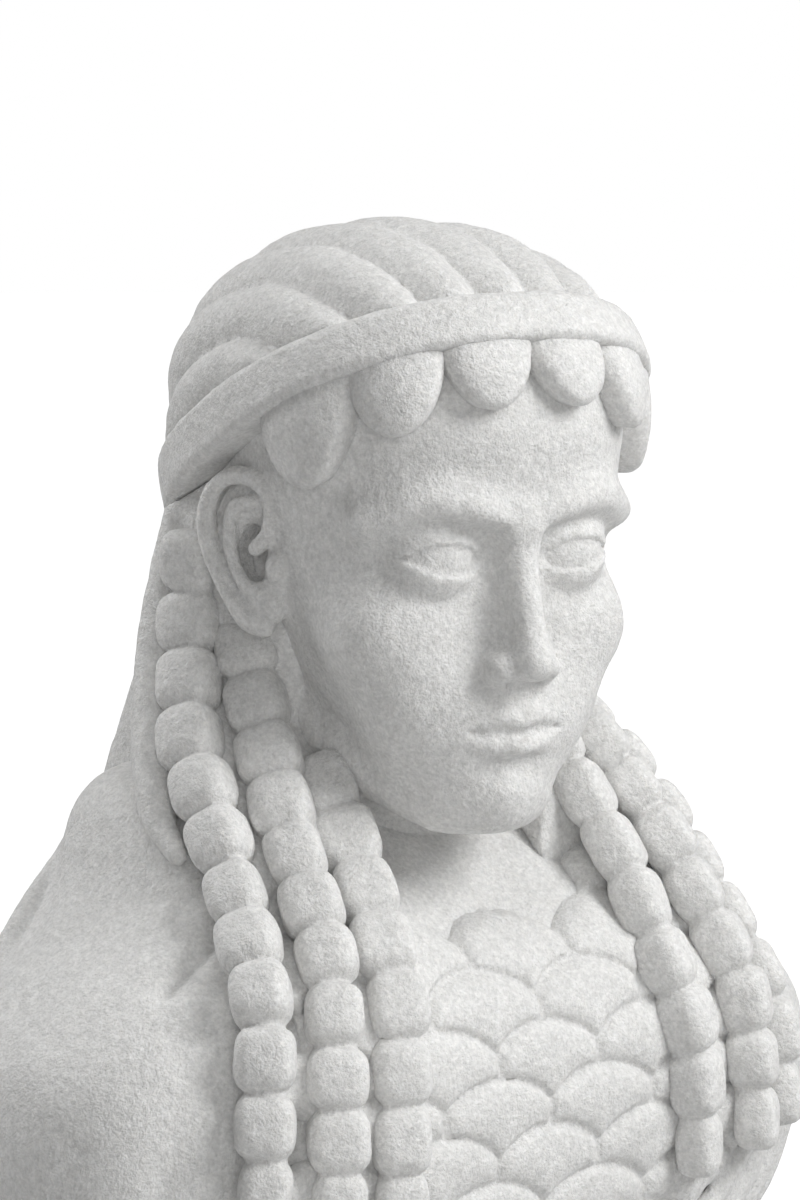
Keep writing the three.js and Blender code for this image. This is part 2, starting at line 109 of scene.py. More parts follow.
SOCLE_SIDES = 144
SOCLE_MEAN_RADIUS = 40
PLINTH_EDGE = 2.6  # width of its rounded edges

# How square a level section is: 2 is an ellipse, and more is closer to a rectangle.
HEAD_BOXINESS = 2.3
NECK_BOXINESS = 2.0
HAIR_BOXINESS = 2.4
TORSO_BOXINESS = 3.0
DOME_POWER = 2.15  # the same for the crown's upright curve

HEM_RADIUS = 4.0
CREASE_WIDTH = 2.8
CREASE_DEPTH = 3.0
NECKLINE_Z = 208.0  # over this height, and within the next half-width, scales may stand past the outline
NECKLINE_HALF_WIDTH = 46.0

# Level sections: height, half-width, reach to the front and reach to the back.
SKULL_SECTIONS = (
    (16, 31, 59, 18),
    (36, 40, 60.5, 38),
    (60, 45.5, 62, 53),
    (82, 49.5, 63, 60),
    (CROWN_Z, 50.5, 62.7, 61),
)
FACE_SECTIONS = (
    (-5, 5, 48, -40),
    (0, 13, 53.5, -31),
    (10, 22, 56.5, -14),
    (22, 30, 57, 2),
    (36, 36.5, 56.5, 14),
    (52, 42, 56, 26),
    (68, 46, 56, 38),
    (84, 49, 60.5, 52),
    (CROWN_Z, 50.5, 62.7, 61),
)
NECK_SECTIONS = (
    (214, 32, 26, 36),
    (236, 31, 26, 36),
    (262, 30, 26, 34),
    (286, 30, 22, 34),
)
TORSO_SECTIONS = (
    (SOCLE_TOP_Z + GAP, 38, 35, 35),
    (92, 58, 42, 40),
    (106, 91, 53, 48),
    (124, 116, 61, 53),
    (146, 130, 65, 56),
    (168, 134, 67, 57),
    (188, 129.5, 66, 57),
    (204, 115, 61, 55),
    (218, 98, 50, 54),
    (230, 85.5, 37, 53.5),
    (240, 79.5, 25, 53),
    (248, 75, 15, 51),
    (254, 68, 8, 48),
    (258, 57, 4, 45),
)
BACK_HAIR_SECTIONS = (
    (160, 26, 0, 64),
    (170, 34, 0, 69),
    (200, 45, 0, 72),
    (235, 55, 8, 73),
    (250, 55, 13, 70.5),
    (268, 53, 20, 65.5),
    (298, 49.5, 24, 55),
    (330, 47, 20, 48),
)
BRAID_ROUTES = {
    "braid_right_outer": (
        (-49, 13, 320), (-51, 12, 297), (-61, 1, 271), (-66, -9, 259.5), (-75, -34, 232),
        (-86, -57, 209.5), (-91, -64, 186), (-93, -66, 156),
    ),
    "braid_right_middle": (
        (-41, 2, 296), (-46, -8, 276), (-54, -28, 250), (-62, -49, 227.5),
        (-66, -60, 213), (-71, -68, 190), (-73, -71, 152),
    ),
    "braid_right_inner": (
        (-35, -18, 261), (-38, -33, 244), (-42, -46, 231), (-46, -57, 218),
        (-49, -66, 203), (-52, -70, 182), (-53, -72, 148),
    ),
    "braid_left_outer": (
        (48, 10, 312), (54, 5, 288), (64, -8, 268), (75, -26, 246),
        (80, -40, 226), (84.5, -52, 208), (89, -62, 188), (91, -66, 156),
    ),
    "braid_left_middle": (
        (43, -6, 290), (54, -22, 268), (62, -37, 247), (66, -52, 226),
        (70, -62, 208), (74, -68, 190), (76, -71, 152),
    ),
    "braid_left_inner": (
        (40, -23, 268), (44, -37, 247), (45, -50, 230), (45, -60, 215),
        (47, -67, 200), (51, -71, 182), (53, -72, 148),
    ),
}
MANTLE_HEM = (
    (44, 41, 247), (59, 41.5, 241), (72, 39.5, 231), (89, 35, 218), (103, 29.5, 203), (115, 22, 186),
)
SHOULDER_CREASE = ((66, -25, 230), (77, -30, 222.6), (87, -32.2, 216.4), (97, -34, 210))
SIDE_LOCK = (
    (44, 25, 324), (48.3, 24, 307), (52.7, 22, 292), (58.8, 17, 277),
    (66.2, 9, 262), (72.4, 0, 249), (76, -12, 240),
)
SIDE_LOCK_RADII = (4.5, 5.5, 6.0, 6.2, 6.0, 4.8, 2.4)

# The ear, seen flat: (back, up) from its middle. The rim runs from the crus round to the lobe.
EAR_RIM = (
    (-3.5, 1.5), (-7.5, 5), (-9.5, 11.5), (-6.5, 18), (0, 20.5), (7, 18.5), (11, 11.5),
    (11, 2.5), (8, -5.5), (4, -12), (0, -17), (-4.5, -18.5),
)
EAR_FOLD = ((-2.5, 13.5), (2.2, 12.2), (4.3, 6), (3.8, -1.5), (0.8, -7.5), (-4, -10))
EAR_GROOVE = ((-3.5, 16.2), (1.8, 15.6), (6.2, 12.4), (7.3, 6), (6.6, -1.5), (3.7, -8), (0.5, -11.5))

# The collar: its scales, and its outline from the front, as curves of (x, z) up one side and over the
# neckline.
SCALE_WIDTH = 37.0
SCALE_PITCH = 13.5
SCALE_RISE = 7.5
COLLAR_OUTLINE = (
    ((0, 118), (52, 118), (84, 140), (87, 176)),
    ((87, 176), (87, 196), (78, 212), (62, 238)),
    ((62, 238), (55, 240.7), (48, 243.3), (42, 246)),
    ((42, 246), (26, 213), (-26, 213), (-42, 246)),
)

# Hand carving and wear: feature size and depth of each octave, in millimetres.
WEAR = ((14.0, 0.34), (6.0, 0.2), (2.6, 0.11))

# The stage. Azimuth 0 looks from the front, and distances are in metres.
WORLD_STRENGTH = 0.04
# Name, azimuth, elevation, distance and size in metres, power in watts.
LIGHTS = (
    ("key", 25, 33, 1.5, 0.8, 18.0),
    ("far_side", 75, 15, 1.5, 0.8, 3.2),
    ("top", 0, 80, 1.5, 1.0, 5.5),
    ("fill", -42, 10, 1.5, 1.2, 5.6),
    ("back", -160, 30, 1.5, 0.8, 13.5),
)

CAMERA_AZIMUTH = math.radians(-42)
CAMERA_ELEVATION = math.radians(6)
CAMERA_DISTANCE = 1.3
CAMERA_SIDESTEP = 0.0082
CAMERA_HEIGHT = 0.299
CAMERA_LENS = 147.3  # millimetres, before a sensor of the next width
SENSOR_WIDTH = 36

FLOOR_RADIUS = 9.0
FLOOR_SIDES = 96
FLOOR_GLOW = 1.35
FLOOR_GLOW_SHARE = 0.8


# ---------------------------------------------------------------- carving tools


def rotation(axis, angle):
    """A 3x3 turn about a main axis."""
    c, s = math.cos(angle), math.sin(angle)
    i, j = {"x": (1, 2), "y": (2, 0), "z": (0, 1)}[axis]
    m = np.eye(3)
    m[i, i] = m[j, j] = c
    m[i, j], m[j, i] = -s, s
    return m


HEAD_TURN = rotation("z", HEAD_YAW) @ rotation("x", HEAD_NOD)


def head_to_world(points):
    return points @ HEAD_TURN.T + np.array(HEAD_ORIGIN)


def smooth_min(a, b, blend):
    """The union of two distances, with a fillet about as wide as blend."""
    if blend <= 0:
        return np.minimum(a, b)
    h = np.clip(0.5 + 0.5 * (b - a) / blend, 0, 1)
    return b + (a - b) * h - blend * h * (1 - h)


def smooth_max(a, b, blend):
    return -smooth_min(-a, -b, blend)


def smooth_step(low, high, value):
    t = np.clip((value - low) / (high - low), 0, 1)
    return t * t * (3 - 2 * t)


def spline(points, count):
    """Evenly many points along a Catmull-Rom curve through the given points."""
    p = np.array(points, float)
    p = np.vstack([2 * p[0] - p[1], p, 2 * p[-1] - p[-2]])
    t = np.linspace(0, len(points) - 1, count)
    i = np.minimum(t.astype(int), len(points) - 2)
    f = (t - i)[:, None]
    a, b, c, d = p[i], p[i + 1], p[i + 2], p[i + 3]
    return 0.5 * (2 * b + (c - a) * f + (2 * a - 5 * b + 4 * c - d) * f**2 + (3 * b - a - 3 * c + d) * f**3)


class Stone:
    """Signed distances on a grid of samples round one piece. Negative is stone."""

    def __init__(self, low, high, step):
        self.step = step
        self.low = np.array(low, float)
        self.axes = [np.arange(a, b, step, dtype=np.float32) for a, b in zip(low, high)]
        self.d = np.full([len(a) for a in self.axes], FAR, np.float32)

    def window(self, low, high):
        return tuple(slice(*np.searchsorted(a, (p, q))) for a, p, q in zip(self.axes, low, high))

    def points(self, window=(slice(None),) * 3):
        x, y, z = (a[w] for a, w in zip(self.axes, window))
        return x[:, None, None], y[None, :, None], z[None, None, :]

    def put(self, shape, blend=0.0, carve=False):
        """Adds a shape, or carves it away. A shape is a distance function and the box it needs."""
        distance, low, high = shape
        margin = blend + 2 * self.step
        w = self.window(np.array(low) - margin, np.array(high) + margin)
        if self.d[w].size == 0:
            return
        other = distance(*self.points(w)).astype(np.float32)
        if carve:
            self.d[w] = smooth_max(self.d[w], -other, blend)
        else:
            self.d[w] = smooth_min(self.d[w], other, blend)

    def press(self, line, width, depth):
        """Presses a soft groove of the given width and depth along a line on the surface."""
        distance, low, high = tube(line, 0.0)
        w = self.window(np.array(low) - 2.5 * width, np.array(high) + 2.5 * width)
        near = distance(*self.points(w)).astype(np.float32) / width
        self.d[w] += depth * np.exp(-near * near)

    def true_distance(self, level):
        """A level function of any steepness turned into a distance near its zero."""
        gx, gy, gz = np.gradient(level, self.step)
        return level / np.maximum(np.sqrt(gx * gx + gy * gy + gz * gz), 1e-4)


def ellipsoid(centre, radii, turn=None):
    """An ellipsoid. The rows of turn are its axes."""

    def distance(x, y, z):
        p = [x - centre[0], y - centre[1], z - centre[2]]
        if turn is not None:
            p = [m[0] * p[0] + m[1] * p[1] + m[2] * p[2] for m in turn]
        k = sum((c / r) ** 2 for c, r in zip(p, radii)) ** 0.5
        g = sum((c / r**2) ** 2 for c, r in zip(p, radii)) ** 0.5
        return k * (k - 1) / np.maximum(g, 1e-4)

    reach = np.array([max(radii)] * 3 if turn is not None else radii)
    return distance, np.array(centre) - reach, np.array(centre) + reach


def cushion(centre, radii, turn, power):
    """An ellipsoid squared off towards a box, as a bead is. The rows of turn are its axes."""

    def distance(x, y, z):
        p = [x - centre[0], y - centre[1], z - centre[2]]
        p = [m[0] * p[0] + m[1] * p[1] + m[2] * p[2] for m in turn]
        k = sum(np.abs(c / r) ** power for c, r in zip(p, radii)) ** (1 / power)
        length = sum(c * c for c in p) ** 0.5
        return length * (1 - 1 / np.maximum(k, 1e-2))

    reach = max(radii) * 1.2
    return distance, np.array(centre) - reach, np.array(centre) + reach


def tube(points, radii):
    """A round bar through the points, with a radius at each."""
    p = np.array(points, float)
    r = np.broadcast_to(np.array(radii, float), len(p))

    def distance(x, y, z):
        best = None
        for a, b, ra, rb in zip(p[:-1], p[1:], r[:-1], r[1:]):
            v = b - a
            q = (x - a[0], y - a[1], z - a[2])
            t = np.clip((q[0] * v[0] + q[1] * v[1] + q[2] * v[2]) / max(v @ v, 1e-6), 0, 1)
            d = sum((c - t * w) ** 2 for c, w in zip(q, v)) ** 0.5 - (ra + t * (rb - ra))
            best = d if best is None else np.minimum(best, d)
        return best

    return distance, p.min(0) - r.max(), p.max(0) + r.max()


def section_table(sections):
    """The sections as smooth functions of height: heights, half-widths, front and back reaches."""
    table = spline(sections, 40 * len(sections))
    return table[np.argsort(table[:, 0])].T


def loft_level(x, y, z, sections, boxiness):
    """A level function that is 1 on the surface through the sections, and grows outwards."""
    heights, widths, fronts, backs = section_table(sections)
    w, f, b = (np.interp(z, heights, v).astype(np.float32) for v in (widths, fronts, backs))
    across = np.abs(x / w) ** boxiness
    along = np.abs((y - (b - f) / 2) / ((b + f) / 2)) ** boxiness
    return (across + along) ** (1 / boxiness)


def head_level(x, y, z, sections):
    """The same for a head, with a domed crown over its widest section."""
    level = loft_level(x, y, np.minimum(z, CROWN_Z), sections, HEAD_BOXINESS)
    rise = np.maximum(z - CROWN_Z, 0) / CROWN_RISE
    return (level**DOME_POWER + rise**DOME_POWER) ** (1 / DOME_POWER)


def band_height(y, z):
    """Distance over the headband's middle plane, in the head's own coordinates."""
    return (z - BAND_Z + BAND_SLOPE * y) / math.hypot(1, BAND_SLOPE)


def value_noise(points, scale, seed):
    """Smooth noise from -1 to 1 at points, with features about as large as scale."""
    q = points / scale
    cell = np.floor(q).astype(np.int64)
    f = q - cell
    f = f * f * (3 - 2 * f)
    total = np.zeros(len(points))
    for corner in range(8):
        offset = np.array([corner & 1, corner >> 1 & 1, corner >> 2])
        c = cell + offset
        h = c[:, 0] * 374761393 + c[:, 1] * 668265263 + c[:, 2] * 2147483647 + seed * 974634777
        h = (h ^ (h >> 13)) * 1274126177 & 0xFFFFFFFF
        h = (h ^ (h >> 16)) & 0xFFFF
        weight = np.prod(np.where(offset, f, 1 - f), axis=1)
        total += weight * (h / 32767.5 - 1)
    return total


def to_piece(name, stone, material, on_head=False, seed=0):
    """Meshes a field, wears its surface a little and puts it in place of the CAD node with its name."""
    d = stone.d
    for axis in range(3):
        for end in (0, -1):
            rim = [slice(None)] * 3
            rim[axis] = end
            d[tuple(rim)] = np.maximum(d[tuple(rim)], stone.step)
    grid = openvdb.FloatGrid(FAR)
    grid.copyFromArray(np.clip(d, -3 * stone.step, 3 * stone.step))
    points, quads = grid.convertToQuads(0.0)
    points = points.astype(float) * stone.step + stone.low
    if on_head:
        points = head_to_world(points)
    mesh = bpy.data.meshes.new(name)
    mesh.from_pydata(points, [], quads.tolist())
    normals = np.zeros(len(points) * 3, np.float32)
    mesh.vertex_normals.foreach_get("vector", normals)
    normals = normals.reshape(-1, 3)
    push = sum(depth * value_noise(points, size, seed + i) for i, (size, depth) in enumerate(WEAR))
    points = (points + normals * push[:, None]) * MM
    mesh.vertices.foreach_set("co", points.astype(np.float32).ravel())
    mesh.shade_smooth()
    mesh.update()
    return add_piece(name, mesh, material)


def add_piece(name, mesh, material):
    """A mesh in place of the CAD node with this name."""
    piece = bpy.data.objects.new("marble_" + name, mesh)
    bpy.context.scene.collection.objects.link(piece)
    mesh.materials.append(material)
    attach(piece, "root")
    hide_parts(name)
    return piece


# ---------------------------------------------------------------- head


def head_sample_in_world(x, y, z):
    """World coordinates of samples given in the head's own."""
    return [m[0] * x + m[1] * y + m[2] * z + o for m, o in zip(HEAD_TURN, HEAD_ORIGIN)]


def world_sample_in_head(x, y, z):
    """The head's own coordinates of samples given in the world's."""
    p = (x - HEAD_ORIGIN[0], y - HEAD_ORIGIN[1], z - HEAD_ORIGIN[2])
    return [m[0] * p[0] + m[1] * p[1] + m[2] * p[2] for m in HEAD_TURN.T]


def carve_brow_and_socket(stone, side):
    arch = spline([(5, -58.4, 78.5), (14, -59, 83), (26, -54.5, 84.5), (38, -45, 79)], 9)
    stone.put(tube(arch * (side, 1, 1), 3.3), blend=8)
    stone.put(ellipsoid((side * 19.5, -61.5, 70.5), (14, 7.6, 7.8)), blend=7, carve=True)
    stone.put(ellipsoid((side * 8.5, -61.5, 71), (2.6, 5, 5.5)), blend=5, carve=True)


def almond(x, z, half_width, rise, fall):
    """Distance from the outline of an eye opening, in its own plane. Negative inside."""
    upper = (half_width**2 + rise**2) / (2 * rise)
    lower = (half_width**2 + fall**2) / (2 * fall)
    over = np.sqrt(x**2 + (z - rise + upper) ** 2) - upper
    under = np.sqrt(x**2 + (z + fall - lower) ** 2) - lower
    return np.maximum(over, under)


def carve_eye(stone, side):
    """A blank eyeball between two lids with rounded rims."""
    cx, cy, cz = side * 18.8, -45.6, 69.5
    ball_radius, lid = 11.6, 1.5
    low, high = (cx - 14.5, cy - 16, cz - 14.5), (cx + 14.5, cy + 2, cz + 14.5)

    def lids(x, y, z):
        ball = np.sqrt((x - cx) ** 2 + (y - cy) ** 2 + (z - cz) ** 2) - ball_radius
        tilt = (x - cx) * side * 0.06
        opening = almond(x - cx, z - cz - tilt, 11.8, 4.7, 3.5)
        return smooth_max(ball - lid, -opening, 1.0)

    stone.put((lids, low, high), blend=2.2)
    stone.put(ellipsoid((cx, cy, cz), (ball_radius,) * 3), blend=0.4)


def carve_nose(stone):
    stone.put(tube([(0, -52, 76), (0, -55.5, 58), (0, -57.5, 45)], (4.0, 5.6, 7)), blend=5)
    ridge = spline([(0, -57.2, 82), (0, -58.2, 72), (0, -62.6, 58), (0, -67.2, 46.5)], 9)
    stone.put(tube(ridge, np.linspace(4.0, 4.4, 9)), blend=4.5)
    stone.put(ellipsoid((0, -67.4, 44.5), (5.4, 5.4, 4.9)), blend=3.5)
    for side in (-1, 1):
        stone.put(ellipsoid((side * 6.6, -61.6, 42.6), (4, 5.4, 4.2)), blend=3)
        stone.put(ellipsoid((side * 4, -63.6, 37.9), (2, 3.4, 2)), blend=1.3, carve=True)


def carve_mouth(stone):
    stone.put(ellipsoid((0, -45.5, 28), (21, 15.5, 16)), blend=9)
    for side in (-1, 1):
        upper = spline([(0, -60.8, 29.1), (4.4, -61.2, 30), (10, -58.9, 29.1), (15.2, -54.4, 27.6)], 9)
        lower = spline([(0, -60.4, 21.6), (5.5, -59.8, 21.8), (10.5, -57.2, 23.1), (14.6, -54.2, 26.0)], 9)
        stone.put(tube(upper * (side, 1, 1), np.linspace(3.2, 1.4, 9)), blend=2)
        stone.put(tube(lower * (side, 1, 1), np.linspace(4.0, 1.6, 9)), blend=2)
    parting = [(0, -63.4, 25.5), (5, -63, 26.1), (10.5, -60.4, 26), (15, -56.6, 27)]
    for side in (-1, 1):
        line = spline(parting, 13) * (side, 1, 1)
        stone.put(tube(line, np.linspace(1.1, 0.4, 13)), blend=1.5, carve=True)
    stone.put(tube([(0, -64.6, 32.5), (0, -63.6, 37)], (1.7, 1.3)), blend=2, carve=True)
    stone.put(ellipsoid((0, -62.3, 16.6), (9, 2.4, 2.8)), blend=5, carve=True)


def build_face_mass(stone):
    """Forehead, cheeks, jaw and chin, before the features."""
    stone.put(ellipsoid((0, -49.5, 9), (10.5, 11.5, 10)), blend=8)
    for side in (-1, 1):
        jaw = spline([(35, 6, 38), (31.5, -6, 24), (23, -26, 11.5), (11, -43, 6.5)], 9)
        stone.put(tube(jaw * (side, 1, 1), np.linspace(5, 7, 9)), blend=9)
        stone.put(ellipsoid((side * 26, -40, 49), (16, 14.5, 15)), blend=10)
        stone.put(ellipsoid((side * 17, -43.5, 31), (14, 12, 15)), blend=10)


def carve_ear(stone, side):
    """Rim, inner fold, hollow, tragus and lobe on a thin plate that leans back and stands off the skull."""
    middle = np.array((side * 49, -6.6, 65.7))
    turn = rotation("z", side * math.radians(-26)) @ rotation("x", math.radians(-7))

    def at(back, up, out):
        return middle + turn @ np.array((side * out, back, up))

    axes = turn.T
    plate = ellipsoid(at(0.5, 0, -2.4), (4, 11.5, 20), axes)
    stone.put(plate, blend=2.5)
    stone.put(ellipsoid(at(-3, -13.5, -0.4), (3.6, 6.2, 6.5), axes), blend=2.5)
    stone.put(ellipsoid(at(-2.2, 1.5, 4.2), (6.3, 5.6, 9.5), axes), blend=1.5, carve=True)
    stone.put(ellipsoid(at(-1.4, -0.5, -1.8), (9.0, 4.6, 8.0), axes), blend=1.5, carve=True)
    rim = [at(b, u, 2.0) for b, u in spline(EAR_RIM, 34)]
    stone.put(tube(rim, np.linspace(2.0, 3.0, 34)), blend=1.0)
    fold = [at(b, u, 2.0) for b, u in spline(EAR_FOLD, 20)]
    stone.put(tube(fold, 1.9), blend=0.6)
    groove = [at(b, u, 4.2) for b, u in spline(EAR_GROOVE, 24)]
    stone.put(tube(groove, 1.4), blend=0.5, carve=True)
    stone.put(ellipsoid(at(-9.5, -3.5, 0.6), (3.4, 3, 4.2), axes), blend=2.5)


def head_block():
    stone = Stone((-68, -84, -46), (68, 36, 136), HEAD_STEP)
    x, y, z = stone.points()
    face = stone.true_distance(head_level(x, y, z, FACE_SECTIONS) - 1)
    stone.d = smooth_max(face, HEAD_FOOT_Z - z, 7)
    build_face_mass(stone)
    wx, wy, wz = head_sample_in_world(x, y, z)
    neck = stone.true_distance(loft_level(wx, wy, wz, NECK_SECTIONS, NECK_BOXINESS) - 1)
    neck = np.maximum(neck, np.maximum(z - NECK_REACH_Z, NECK_FOOT_Z - wz))
    stone.d = smooth_min(stone.d, neck, 8)
    for side in (-1, 1):
        carve_brow_and_socket(stone, side)
    carve_nose(stone)
    carve_mouth(stone)
    for side in (-1, 1):
        carve_eye(stone, side)
        carve_ear(stone, side)
    stone.d = np.maximum(stone.d, np.maximum(band_height(y, z) - BAND_WIDTH / 2, y - HEAD_BACK_Y))
    return stone


# ---------------------------------------------------------------- hair


def hair_stone(low, high, step=HAIR_STEP):
    """An empty stone in the head's own coordinates, and the distance from the skull in it."""
    stone = Stone(low, high, step)
    x, y, z = stone.points()
    skull = stone.true_distance(head_level(x, y, z, SKULL_SECTIONS) - 1)
    return stone, skull


def hair_cap():
    """Hair combed back in rolls that fan about a line through the skull, with a groove between each two."""
    stone, skull = hair_stone((-64, -78, 52), (64, 76, 156))
    x, y, z = stone.points()
    over_band = band_height(y, z) - BAND_WIDTH / 2
    axis_z = FLUTE_AXIS_Z - 0.55 * np.maximum(y, 0)
    angle = np.arctan2(x, z - axis_z)
    roll = np.abs(np.cos(np.pi * angle / FLUTE_PITCH)) ** 0.72
    depth = 1.8 + 3.0 * np.exp(-np.maximum(over_band, 0) / 22)
    stone.d = smooth_max(skull - CAP_THICK + depth * (1 - roll), -1.2 - over_band, 3.2)
    return stone


def headband():
    stone, skull = hair_stone((-64, -78, 44), (64, 76, 146))
    _, y, z = stone.points()
    rounding = 2.6
    inner = -2.0
    half_depth = (BAND_THICK - inner) / 2
    across = np.abs(skull - inner - half_depth) - half_depth + rounding
    along = np.abs(band_height(y, z)) - BAND_WIDTH / 2 + rounding
    outside = np.sqrt(np.maximum(across, 0) ** 2 + np.maximum(along, 0) ** 2)
    stone.d = outside + np.minimum(np.maximum(across, along), 0) - rounding
    return stone


def forehead_curl(index):
    """A tongue of hair that hangs from the band, domed and rounded at its edge."""
    angle = (index - (CURL_COUNT - 1) / 2) * CURL_PITCH
    turn = angle * CURL_TURN
    foot = BAND_Z + BAND_SLOPE * FOREHEAD_REACH * math.cos(angle) - BAND_WIDTH / 2
    middle = (60 * math.sin(angle), -60 * math.cos(angle), foot - 6)
    low = [c - r for c, r in zip(middle, (24, 24, 22))]
    high = [c + r for c, r in zip(middle, (24, 24, 16))]
    stone, skull = hair_stone(low, high, HAIR_STEP * 0.85)
    x, y, z = stone.points()
    px, py = x - CURL_HINGE * math.sin(angle), y + CURL_HINGE * math.cos(angle)
    across = px * math.cos(turn) + py * math.sin(turn)
    down = z - foot
    half = CURL_SIZES[index][0] / 2 - GAP
    length = CURL_SIZES[index][1]
    k = np.sqrt((across / half) ** 2 + (np.minimum(down, 0) / length) ** 2)
    edge = np.sqrt(across**2 + np.minimum(down, 0) ** 2) * (1 - 1 / np.maximum(k, 0.05))
    thick = CURL_THICK + 0.8 - 2.4 * np.minimum(k, 1) ** 3
    stone.d = smooth_max(skull - thick, edge, 3.2)
    stone.d = np.maximum(stone.d, band_height(y, z) + BAND_WIDTH / 2 - 1.5)
    stone.d = np.maximum(stone.d, -3 - skull)
    return stone


def strand_frames(route):
    """Middle and axes (across, out, along) of each bead on a strand, the strand's path and its pitch."""
    path = spline(route, 400)
    steps = np.linalg.norm(np.diff(path, axis=0), axis=1)
    run = np.concatenate([[0], np.cumsum(steps)])
    count = round(run[-1] / BEAD_PITCH)
    frames = []
    for i in range(count):
        share = (i + 0.5) / count
        at = np.array([np.interp(share * run[-1], run, path[:, k]) for k in range(3)])
        ahead = np.array([np.interp(share * run[-1] + 2, run, path[:, k]) for k in range(3)])
        behind = np.array([np.interp(share * run[-1] - 2, run, path[:, k]) for k in range(3)])
        along = (ahead - behind) / np.linalg.norm(ahead - behind)
        out = np.array((at[0], at[1] - STRAND_AXIS_Y, 0.0))
        out -= along * (out @ along)
        out /= np.linalg.norm(out)
        frames.append((at, np.array([np.cross(out, along), out, along])))
    return frames, path, run[-1] / count


def braid(name):
    """A string of cushion-shaped beads, a little wider, flatter and squarer behind the ear than below."""
    frames, path, pitch = strand_frames(BRAID_ROUTES[name])
    low = path.min(0) - 12
    high = path.max(0) + 12
    stone = Stone(low, high, STRAND_STEP)
    chance = np.random.default_rng(sum(map(ord, name)))
    for i, (at, axes) in enumerate(frames):
        lower = float(smooth_step(1, 5, i))
        fullness = 0.86 if i == len(frames) - 1 else 1.0
        squareness = 3.6 - 0.4 * lower
        vary = 1 + chance.uniform(-0.045, 0.045, 3)
        lean = rotation("y", chance.uniform(-0.07, 0.07)) @ rotation("x", chance.uniform(-0.06, 0.06))
        width = BEAD_HALF_WIDTH * (1.08 - 0.08 * lower) * fullness
        depth = BEAD_HALF_DEPTH * (0.95 + 0.05 * lower) * fullness
        radii = np.array((width, depth, pitch * 0.52)) * vary
        stone.put(cushion(at, radii, lean @ axes, squareness), blend=1.0)
    core = np.array([at - axes[1] * 1.0 for at, axes in frames])
    core_radii = [4.8 * (0.86 + 0.14 * float(smooth_step(0, 4, i))) for i in range(len(frames))]
    stone.put(tube(core, core_radii), blend=1.2)
    return stone


def braid_layer(route):
    """Middle line of the plain hair behind a strand, from its top down to the layer's lowest height."""
    path = spline(route, 200)[::-1]
    heights = np.linspace(BRAID_LAYER_Z, path[-1, 2], 16)
    x, y = (np.interp(heights, path[:, 2], path[:, i]) for i in (0, 1))
    share = 1 - (BRAID_LAYER_RADIUS + BRAID_LAYER_SINK) / np.hypot(x, y - STRAND_AXIS_Y)
    return np.column_stack([x * share, STRAND_AXIS_Y + (y - STRAND_AXIS_Y) * share, heights])


def back_hair():
    """The hair that falls behind, in soft waved locks, with a plain layer behind the braids."""
    stone = Stone((-92, -36, 156), (92, 78, 346), HAIR_STEP * 1.3)
    x, y, z = stone.points()
    fall = stone.true_distance(loft_level(x, y, z, BACK_HAIR_SECTIONS, HAIR_BOXINESS) - 1)
    heights, widths = section_table(BACK_HAIR_SECTIONS)[:2]
    width = np.interp(z, heights, widths)
    wave = 0.16 * np.sin(z / 9.5 + 2.2 * x / width)
    roll = np.abs(np.cos(np.pi * (4.5 * x / width + wave))) ** 0.8
    depth = 2.1 * smooth_step(14, 34, y)
    stone.d = smooth_max(fall + depth * (1 - roll), BACK_HAIR_FOOT_Z - z, 5)
    layers = [braid_layer(route) for route in BRAID_ROUTES.values()]
    for layer in layers:
        stone.put(tube(layer, BRAID_LAYER_RADIUS), blend=3)
    for first, second in ((0, 1), (1, 2), (3, 4), (4, 5)):
        stone.put(tube((layers[first] + layers[second]) / 2, BRAID_LAYER_RADIUS - 2), blend=3)
    radii = np.interp(np.linspace(0, 1, 32), np.linspace(0, 1, len(SIDE_LOCK_RADII)), SIDE_LOCK_RADII)
    for side in (-1, 1):
        stone.put(tube(spline(SIDE_LOCK, 32) * (side, 1, 1), radii), blend=2.5)
    _, hy, hz = world_sample_in_head(x, y, z)
    stone.d = np.maximum(stone.d, band_height(hy, hz) + BAND_WIDTH / 2 + GAP)
    return stone


# ---------------------------------------------------------------- dress


def torso_distance(stone):
    x, y, z = stone.points()
    body = stone.true_distance(loft_level(x, y, z, TORSO_SECTIONS, TORSO_BOXINESS) - 1)
    return smooth_max(smooth_max(body, SOCLE_TOP_Z + GAP - z, 3), z - TORSO_TOP_Z, 3)


def front_of_torso(x, z):
    """Depth of the torso's front face at points seen from the front."""
    heights, widths, fronts, backs = section_table(TORSO_SECTIONS)
    w, f, b = (np.interp(z, heights, v) for v in (widths, fronts, backs))
    side = np.clip(1 - np.abs(x / w) ** TORSO_BOXINESS, 0, 1) ** (1 / TORSO_BOXINESS)
    return (b - f) / 2 - (b + f) / 2 * side


def folds(x, y, z):
    """Depth of the mantle's folds: upright pleats in front, hanging ones across the back."""
    run = x * (1 + 0.5 * smooth_step(150, 90, z)) / 15
    run = run + 0.25 * np.sin(z / 19 + x / 21)
    pleats = (1 - np.abs(np.cos(np.pi * run)) ** 0.6) * smooth_step(-10, -40, y)
    pleats = pleats * 2.2 * smooth_step(188, 160, z)
    hang = (z + (x / 13.5) ** 2 * 0.9) / 23 + 0.12 * np.sin(x / 17)
    swags = (1 - np.abs(np.cos(np.pi * hang)) ** 0.55) * smooth_step(8, 36, y)
    swags = swags * 2.4 * smooth_step(238, 214, z) * smooth_step(96, 116, z)
    return pleats + swags


